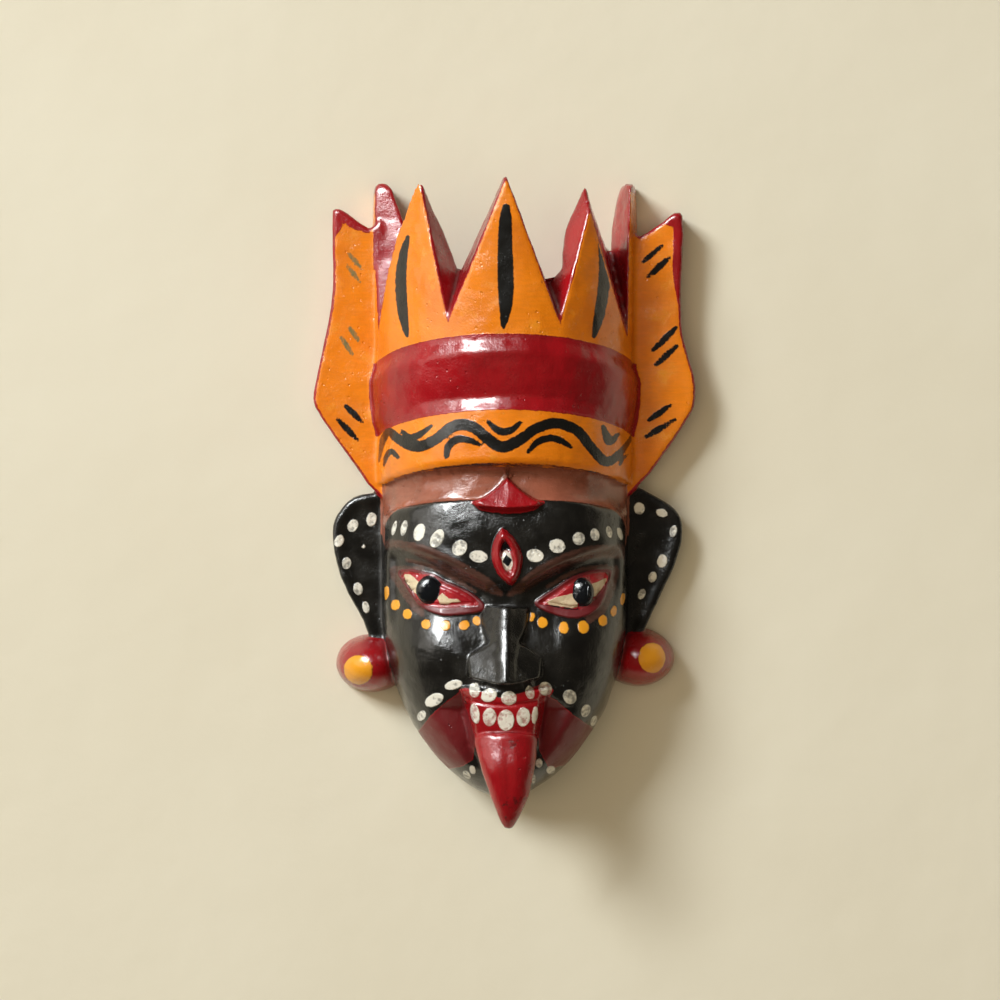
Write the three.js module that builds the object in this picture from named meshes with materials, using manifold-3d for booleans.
// A carved and painted wooden deity mask, about 200 mm tall, lying on its back with the face up.
// It is one piece of wood: face, three eyes, tongue, ears, ear studs, banded crown with five spikes
// and two side wings, with a hollow gouged into the back and a nail rest at the hollow's upper end.
// Millimetres. X is to the viewer's right, Y towards the crown, Z out of the face. The back lies on Z = 0.
import * as THREE from "three";
import { ConvexGeometry } from "three/addons/geometries/ConvexGeometry.js";
import { mergeVertices } from "three/addons/utils/BufferGeometryUtils.js";
import Module from "manifold-3d";

const wasm = await Module();
wasm.setup();

// Driving sizes of the whole mask
const TOP = 100.6; // the level top of the outer spikes
const CHIN = -93;
const FRONT = 45; // depth of the crown's front, from the wall
const BAND_TILT = 0.22; // the crown's bands drop towards the back by this share of the depth
const PAINT_BLACK = 0x1b1a19;

// Face block
const FACE_HALF_WIDTH = 38.8;
const FACE_TOP = 14;
const JAW_START = -30;
const JAW_LENGTH = 64;
const CHIN_HALF_WIDTH = 3;
const FACE_DEPTH = 43;
const FACE_EDGE = 8; // height of the plain side wall round the face
const FACE_COLUMNS = 40;
const FACE_ROWS = 54;
const ROW_TILT = 0.36; // the rows of the face's mesh rise outwards with the brows and the eyes

// Features of the face
const FOREHEAD_TOP = 2.2;
const HAIR_BAND_STEP = 1.6;
const BROW = { inner: -24, outer: -13, start: 6, reach: 37, socket: 5, middle: 0.75, fall: 5 };
const EYE = { inner: 7, outer: 34.5, innerY: -32.6, slope: 0.458, half: 4.8, ball: 5.2, sunk: 1.4 };
const NOSE = { root: -27, tip: -54, rootHeight: 1, tipHeight: 15, rootHalf: 4, tipHalf: 8.4 };
const NOSTRIL = { x: 7.4, y: -51.4, halfX: 4.3, halfY: 4.1, halfZ: 7.5, lean: 0.35 };
const MUZZLE = { top: -56.5, bottom: -80, topHalf: 13, bottomHalf: 9.6, lift: 6 };
const MOUTH_CORNER = { x: 16.5, y: -69.5, halfX: 9, halfY: 9.5, depth: 4.6 };

// Tongue
const TONGUE = { root: -70.4, tip: -100.2, half: 10.2, thick: 6.4, rootZ: 40.6, peakZ: 42, tipZ: 38.5 };

// Crown drum: half width and level of each band, and the long half axis towards the front
const DRUM_STRETCH = 1.09;
const YELLOW_BOTTOM = 12.4;
const YELLOW_TOP = 29.6;
const COLLAR_TOP = 50.4;
const YELLOW_RADIUS = 41.8;
const COLLAR_RADIUS = 43.6;
const SPIKE_RADIUS = 42.2;
const COLLAR_RECESS = 2.6; // how far the collar's lower edge is cut back at the front
const DRUM_SIDES = 80;
const CROWN_BOWL = { floor: 66, floorRadius: 27.7, rimRadius: 37.2, rim: 101 };

// Where the cuts between the spikes start, where they lead, and the spike tips beside them
const CENTRE_TIP = [0.3, 99.6, 45.8];
const LEFT_CUT = { start: [-17.5, 57, 41.5], along: [3.2, 15.2, -13.5], outerTip: [-26.5, 98.3, 35.5] };
const RIGHT_CUT = { start: [16.7, 56.6, 41.8], along: [-4.8, 14.9, -13.8], outerTip: [26, 89.6, 35.5] };
const LEFT_OUTER_CUT = { start: [-39.8, 55, 14.2], along: [1, 0, 0], frontTip: [-39.8, 98.3, 35.5], backTip: [-39.8, TOP, 12.2] };
const RIGHT_OUTER_CUT = { start: [38.4, 54, 18.6], along: [-1.8, 9.3, -7.1], frontTip: [26, 89.6, 35.5], backTip: [38.4, TOP, 12.2] };
const RIGHT_TIP = { at: [24.3, 98.9, 28.4], slope: 0.93 };

// Side wings of the crown, ears and ear studs
const WING_DEPTH = 11;
const LEFT_WING = [[-38.5, 88.6], [-43.2, 87.4], [-50.5, 92.6], [-53.6, 93.6], [-54.9, 91.5], [-54.6, 68], [-57, 53],
  [-60.3, 38], [-60.2, 30.5], [-53.4, 20], [-47.5, 12], [-41.5, 4.2], [-34, 4], [-34, 58], [-38.5, 64]];
const RIGHT_WING = [[38, 86.4], [43, 84.8], [50.5, 89.6], [56.3, 91.7], [56, 67], [56.4, 54],
  [60, 40.5], [60.3, 31.5], [57.5, 26], [51.2, 16.5], [43.4, 6.8], [34, 4], [34, 58], [38, 64]];
const EAR_DEPTH = 9;
const LEFT_EAR = [[-32, 5], [-39, 3.6], [-48, 2], [-53.4, -3.6], [-54.9, -9.4], [-53.6, -19], [-50, -28], [-45.2, -37], [-41.5, -45], [-32, -48]];
const RIGHT_EAR = [[32, 6], [41, 5.6], [49.6, 1.2], [55.2, -3], [56.6, -8.6], [54.4, -18.5], [49.4, -30], [44.2, -41], [41, -46], [32, -48]];
const STUD = { halfX: 11.6, halfY: 8.7, top: 18, leftX: -42.4, leftY: -51.2, rightX: 42.6, rightY: -49.2 };

// Small raised carvings on the forehead
const THIRD_EYE = { x: 0.5, y: -16.6, halfX: 4.6, halfY: 8.5, lift: 3, tilt: 0.1 };
const HAIR_JEWEL = { x: 0.8, y: 0.4, half: 11, up: 7.4, down: 4.6, lift: 4.2 };

// Hollow of the back and the nail rest above it
const HOLLOW = { y: -17, halfX: 27.5, halfY: 61, depth: 28, power: 2.5, sides: 26, rings: 16 };
const NAIL_REST = { half: 3.5, top: 50, bottom: 38, depth: 8 };

const lerp = THREE.MathUtils.lerp;
const smooth = (x, low, high) => THREE.MathUtils.smoothstep(x, low, high);

function solidOf(geometry) {
  const bare = geometry.clone();
  for (const name of Object.keys(bare.attributes)) if (name !== "position") bare.deleteAttribute(name);
  const merged = mergeVertices(bare, 1e-4);
  const vertProperties = new Float32Array(merged.attributes.position.array);
  const triVerts = new Uint32Array(merged.index.array);
  const solid = new wasm.Manifold(new wasm.Mesh({ numProp: 3, vertProperties, triVerts }));
  if (solid.volume() > 0) return solid;
  for (let i = 0; i < triVerts.length; i += 3) [triVerts[i + 1], triVerts[i + 2]] = [triVerts[i + 2], triVerts[i + 1]];
  return new wasm.Manifold(new wasm.Mesh({ numProp: 3, vertProperties, triVerts }));
}

function geometryOf(solid) {
  const mesh = solid.getMesh();
  const positions = new Float32Array(mesh.numVert * 3);
  for (let i = 0; i < mesh.numVert; i++)
    positions.set(mesh.vertProperties.subarray(i * mesh.numProp, i * mesh.numProp + 3), i * 3);
  const geometry = new THREE.BufferGeometry();
  geometry.setAttribute("position", new THREE.BufferAttribute(positions, 3));
  geometry.setIndex(new THREE.BufferAttribute(new Uint32Array(mesh.triVerts), 1));
  geometry.computeVertexNormals();
  return geometry;
}

// Moves every vertex of a geometry: shape(point) changes the point in place.
function reshape(geometry, shape) {
  const position = geometry.attributes.position;
  const point = new THREE.Vector3();
  for (let i = 0; i < position.count; i++) {
    point.fromBufferAttribute(position, i);
    shape(point);
    position.setXYZ(i, point.x, point.y, point.z);
  }
  return geometry;
}

function boxOf(low, high) {
  const size = new THREE.Vector3().subVectors(high, low);
  const middle = new THREE.Vector3().addVectors(low, high).multiplyScalar(0.5);
  return new THREE.BoxGeometry(size.x, size.y, size.z).translate(middle.x, middle.y, middle.z);
}

function faceHalfWidth(y) {
  const down = Math.max(0, (JAW_START - y) / JAW_LENGTH);
  return Math.max(CHIN_HALF_WIDTH, FACE_HALF_WIDTH * Math.max(0, 1 - down ** 2.2) ** 0.66);
}

// The plain rounded block of the face, before its features.
function faceBase(x, y) {
  const down = Math.max(0, (-12 - y) / 82);
  const centre = FACE_DEPTH * (1 - down ** 4) ** 0.4545;
  const across = Math.min(1, Math.abs(x) / faceHalfWidth(y));
  return FACE_EDGE + (centre - FACE_EDGE) * (1 - across ** 2.8) ** 0.42;
}

function eyeLine(side) {
  return EYE.innerY + EYE.slope * (side - EYE.inner);
}

function eyeRelief(side, y) {
  const out = THREE.MathUtils.clamp((side - BROW.start) / (BROW.reach - BROW.start), 0, 1);
  const brow = lerp(BROW.outer, BROW.inner, (1 - out) ** 1.8);
  const line = eyeLine(Math.max(side, EYE.inner));
  const below = smooth(brow - y, 0, BROW.fall) * (1 - smooth(line - y, 3, 9));
  const across = lerp(BROW.middle, 1, smooth(side, 3, 8)) * (1 - smooth(side, 33, 38));
  return -BROW.socket * below * across;
}

function noseRelief(side, y) {
  const along = (NOSE.root - y) / (NOSE.root - NOSE.tip);
  if (along < 0 || along > 1.12) return 0;
  const t = Math.min(1, along);
  const height = lerp(NOSE.rootHeight, NOSE.tipHeight, t) * smooth(along, 0, 0.25) * (1 - smooth(along, 1, 1.1));
  const half = lerp(NOSE.rootHalf, NOSE.tipHalf, t);
  return height * Math.max(0, 1 - (side / half) ** 1.7) ** 0.85;
}

function mouthRelief(side, y) {
  const height = smooth(MUZZLE.top - y, -1, 1) * (1 - smooth(MUZZLE.bottom + 6 - y, -4, 6));
  const down = THREE.MathUtils.clamp((MUZZLE.top - y) / (MUZZLE.top - MUZZLE.bottom), 0, 1);
  const half = lerp(MUZZLE.topHalf, MUZZLE.bottomHalf, down);
  const muzzle = MUZZLE.lift * height * (1 - smooth(side, half - 3, half + 0.8));
  const away = Math.hypot((side - MOUTH_CORNER.x) / MOUTH_CORNER.halfX, (y - MOUTH_CORNER.y) / MOUTH_CORNER.halfY);
  return muzzle - MOUTH_CORNER.depth * (1 - smooth(away, 0.2, 1));
}

function faceHeight(x, y) {
  const side = Math.abs(x);
  const base = faceBase(x, y);
  const level = y + BAND_TILT * (FRONT - base); // height on the tilted crown bands
  const hairBand = HAIR_BAND_STEP * smooth(level - FOREHEAD_TOP, -0.8, 0.8);
  const inside = smooth(base - FACE_EDGE, 0, 10);
  return base - hairBand + inside * (eyeRelief(side, y) + mouthRelief(side, y)) + noseRelief(side, y);
}

function makeFace() {
  const block = new THREE.BoxGeometry(2, 1, 1, FACE_COLUMNS, FACE_ROWS, 1);
  return reshape(block, (p) => {
    const across = Math.sign(p.x) * Math.abs(p.x) ** 1.25; // columns closer together towards the nose
    const row = lerp(CHIN, FACE_TOP, p.y + 0.5);
    const tilted = smooth(row, -64, -40) * (1 - smooth(row, -26, 2));
    p.y = row + ROW_TILT * tilted * Math.max(0, Math.abs(across) * FACE_HALF_WIDTH - EYE.inner);
    p.x = across * faceHalfWidth(p.y);
    p.z = p.z > 0 ? faceHeight(p.x, p.y) : 0;
  });
}

// An almond of an eyeball, following the slant of the socket. sign is 1 on the viewer's right.
function makeEyeball(sign) {
  const middle = (EYE.inner + EYE.outer) / 2;
  const angle = Math.atan(EYE.slope);
  const half = (EYE.outer - EYE.inner) / 2 / Math.cos(angle);
  const edge = faceHeight(sign * EYE.outer, eyeLine(EYE.outer));
  const root = faceHeight(sign * EYE.inner, eyeLine(EYE.inner));
  const turnIn = Math.atan((root - edge) / (EYE.outer - EYE.inner)) * 0.6;
  const ball = new THREE.SphereGeometry(1, 18, 14).rotateZ(Math.PI / 2).scale(half, EYE.half, EYE.ball);
  ball.rotateY(sign * turnIn).rotateZ(sign * angle);
  return ball.translate(sign * middle, eyeLine(middle), faceHeight(sign * middle, eyeLine(middle)) - EYE.sunk);
}

function makeNostril(sign) {
  const { x, y, halfX, halfY, halfZ, lean } = NOSTRIL;
  const wing = new THREE.SphereGeometry(1, 14, 10).scale(halfX, halfY, halfZ).rotateZ(sign * lean);
  return wing.translate(sign * x, y, faceHeight(sign * (x + halfX), y));
}

function makeTongue() {
  const ball = new THREE.SphereGeometry(1, 20, 15);
  return reshape(ball, (p) => {
    const ring = Math.max(1e-6, Math.hypot(p.x, p.z));
    const along = (1 - p.y) / 2; // 0 inside the mouth, 1 at the tip
    const width = TONGUE.half * Math.min(1, 2 * along + 0.9) * (1 - along ** 2.4) ** 0.66;
    const thick = TONGUE.thick * (1 - along ** 2.4) ** 0.7;
    const centre = along < 0.5
      ? lerp(TONGUE.rootZ, TONGUE.peakZ, smooth(along, 0, 0.5))
      : lerp(TONGUE.peakZ, TONGUE.tipZ, ((along - 0.5) / 0.5) ** 1.6);
    const round = Math.min(1, ring / 0.35);
    p.x = (p.x / ring) * width * round;
    p.z = centre + (p.z / ring) * thick * round;
    p.y = lerp(TONGUE.root, TONGUE.tip, along);
  });
}

// The drum of the crown: a turned profile, stretched towards the front and tilted back.
function makeDrum() {
  const rim = TOP + 12;
  const profile = [
    [0, YELLOW_BOTTOM], [YELLOW_RADIUS - 1, YELLOW_BOTTOM], [YELLOW_RADIUS - 0.1, YELLOW_BOTTOM + 1.4],
    [YELLOW_RADIUS + 0.2, (YELLOW_BOTTOM + YELLOW_TOP) / 2], [YELLOW_RADIUS - 0.3, YELLOW_TOP],
    [COLLAR_RADIUS - 0.9, YELLOW_TOP + 3.6], [COLLAR_RADIUS - 0.2, YELLOW_TOP + 9], [COLLAR_RADIUS, COLLAR_TOP - 4.2],
    [COLLAR_RADIUS - 0.3, COLLAR_TOP - 2.6], [SPIKE_RADIUS + 0.2, COLLAR_TOP - 0.2], [SPIKE_RADIUS, COLLAR_TOP + 1.4],
    [SPIKE_RADIUS, rim], [0, rim],
  ].map(([radius, level]) => new THREE.Vector2(radius, level));
  const turned = new THREE.LatheGeometry(profile, DRUM_SIDES);
  reshape(turned, (p) => {
    const radius = Math.max(1e-6, Math.hypot(p.x, p.z));
    const front = Math.max(0, p.z / radius);
    const middle = YELLOW_TOP + 3.6;
    const cutBack = COLLAR_RECESS * front ** 2 * Math.max(0, 1 - Math.abs(p.y - middle) / (p.y < middle ? 4 : 13));
    const share = radius < 1 ? 1 : (radius - cutBack) / radius;
    p.x *= share;
    p.z *= share * DRUM_STRETCH;
    p.y -= BAND_TILT * (FRONT - p.z) * (p.y > rim - 1 ? 0 : 1);
  });
  return turned;
}

// A V cut: two planes that share the line from start along a direction, opening to a tip on each side.
function makeCut(start, along, tipA, tipB) {
  const from = new THREE.Vector3(...start);
  const run = new THREE.Vector3(...along).normalize();
  const opens = [tipA, tipB].map((tip) => new THREE.Vector3(...tip).sub(from).multiplyScalar(1.6));
  const corners = [];
  for (const reach of [-30, 60]) {
    const base = from.clone().addScaledVector(run, reach);
    corners.push(base, ...opens.map((open) => base.clone().add(open)));
  }
  return new ConvexGeometry(corners);
}

function makeTipCut() {
  const { at, slope } = RIGHT_TIP;
  const shape = new THREE.Shape([
    new THREE.Vector2(at[0] - 14, at[1] - 14 * slope), new THREE.Vector2(at[0] + 8, at[1] + 8 * slope),
    new THREE.Vector2(at[0] + 8, at[1] + 30), new THREE.Vector2(at[0] - 14, at[1] + 30),
  ]);
  return new THREE.ExtrudeGeometry(shape, { depth: FRONT + 10, bevelEnabled: false });
}

// The open inside of the crown, behind the spikes.
function makeCrownBowl() {
  const { floor, floorRadius, rimRadius, rim } = CROWN_BOWL;
  const grow = (rimRadius - floorRadius) / (rim - floor);
  const over = rim + 20;
  const profile = [
    new THREE.Vector2(0, floor), new THREE.Vector2(floorRadius - 4, floor), new THREE.Vector2(floorRadius, floor + 3),
    new THREE.Vector2(rimRadius + grow * (over - rim), over), new THREE.Vector2(0, over),
  ];
  return new THREE.LatheGeometry(profile, DRUM_SIDES).scale(1, 1, DRUM_STRETCH);
}

function makePlate(outline, depth) {
  const points = outline.map(([x, y]) => new THREE.Vector2(x, y));
  const bevel = 1.2;
  const plate = new THREE.ExtrudeGeometry(new THREE.Shape(points), {
    depth: depth - bevel, bevelEnabled: true, bevelThickness: bevel, bevelSize: bevel, bevelOffset: -bevel, bevelSegments: 2,
  });
  return plate;
}

function makeStud(x, y) {
  return new THREE.SphereGeometry(1, 22, 16).scale(STUD.halfX, STUD.halfY, STUD.top).translate(x, y, 0);
}

// A pointed oval that swells out of the forehead.
function makeThirdEye() {
  const at = faceHeight(THIRD_EYE.x, THIRD_EYE.y);
  const bead = new THREE.SphereGeometry(1, 18, 14);
  reshape(bead, (p) => {
    const taper = (1 - Math.abs(p.y)) ** 0.25;
    p.set(p.x * THIRD_EYE.halfX * taper, p.y * THIRD_EYE.halfY, p.z * THIRD_EYE.lift);
  });
  return bead.rotateZ(THIRD_EYE.tilt).translate(THIRD_EYE.x, THIRD_EYE.y, at - 0.3);
}

// The jewel at the parting: a leaf with a raised ridge and a drawn-out upper point.
function makeHairJewel() {
  const { x, y, half, up, down, lift } = HAIR_JEWEL;
  const steps = 12;
  const rim = [];
  for (let i = 0; i <= steps; i++) {
    const across = -1 + (2 * i) / steps;
    rim.push(new THREE.Vector2(across * half, -down * (1 - across ** 2)));
  }
  for (let i = steps - 1; i > 0; i--) {
    const across = -1 + (2 * i) / steps;
    rim.push(new THREE.Vector2(across * half, up * (1 - Math.abs(across)) ** 2));
  }
  const leaf = new THREE.ExtrudeGeometry(new THREE.Shape(rim), { depth: 14, bevelEnabled: false });
  const base = FACE_DEPTH - 10;
  const solid = solidOf(leaf.translate(x, y, base));
  const roof = new THREE.SphereGeometry(1, 24, 12).scale(half * 1.25, down * 2.1, lift + 10).translate(x, y + 0.6, base);
  return solid.intersect(solidOf(roof));
}

function superPower(value, power) {
  return Math.sign(value) * Math.abs(value) ** power;
}

function makeHollow() {
  const { y, halfX, halfY, depth, power, sides, rings } = HOLLOW;
  return reshape(new THREE.SphereGeometry(1, sides, rings), (p) => {
    const sum = Math.abs(p.x) ** power + Math.abs(p.y) ** power + Math.abs(p.z) ** power;
    p.multiplyScalar(sum ** (-1 / power));
    p.set(p.x * halfX, y + p.y * halfY, p.z * depth);
  });
}

function carveMask() {
  const big = 200;
  const wall = solidOf(boxOf(new THREE.Vector3(-big, -big, 0), new THREE.Vector3(big, TOP, big)));
  let crown = solidOf(makeDrum()).subtract(solidOf(makeCrownBowl()));
  const cuts = [
    makeCut(LEFT_CUT.start, LEFT_CUT.along, LEFT_CUT.outerTip, CENTRE_TIP),
    makeCut(RIGHT_CUT.start, RIGHT_CUT.along, RIGHT_CUT.outerTip, CENTRE_TIP),
    makeCut(LEFT_OUTER_CUT.start, LEFT_OUTER_CUT.along, LEFT_OUTER_CUT.frontTip, LEFT_OUTER_CUT.backTip),
    makeCut(RIGHT_OUTER_CUT.start, RIGHT_OUTER_CUT.along, RIGHT_OUTER_CUT.frontTip, RIGHT_OUTER_CUT.backTip),
    makeTipCut(),
  ];
  for (const cut of cuts) crown = crown.subtract(solidOf(cut));

  let mask = crown.add(solidOf(makeFace()));
  const additions = [
    makeTongue(), makePlate(LEFT_WING, WING_DEPTH), makePlate(RIGHT_WING, WING_DEPTH),
    makePlate(LEFT_EAR, EAR_DEPTH), makePlate(RIGHT_EAR, EAR_DEPTH),
    makeStud(STUD.leftX, STUD.leftY), makeStud(STUD.rightX, STUD.rightY),
    makeEyeball(-1), makeEyeball(1), makeThirdEye(), makeNostril(-1), makeNostril(1),
  ];
  for (const addition of additions) mask = mask.add(solidOf(addition));
  mask = mask.add(makeHairJewel()).intersect(wall);

  const { half, top, bottom, depth } = NAIL_REST;
  const nailRest = boxOf(new THREE.Vector3(-half, bottom, -1), new THREE.Vector3(half, top, depth));
  return mask.subtract(solidOf(makeHollow())).subtract(solidOf(nailRest));
}

const mask = new THREE.Mesh(
  geometryOf(carveMask()),
  new THREE.MeshStandardMaterial({ color: PAINT_BLACK, roughness: 0.28, metalness: 0 }),
);
mask.name = "mask";

const root = new THREE.Group();
root.add(mask);
export default root;
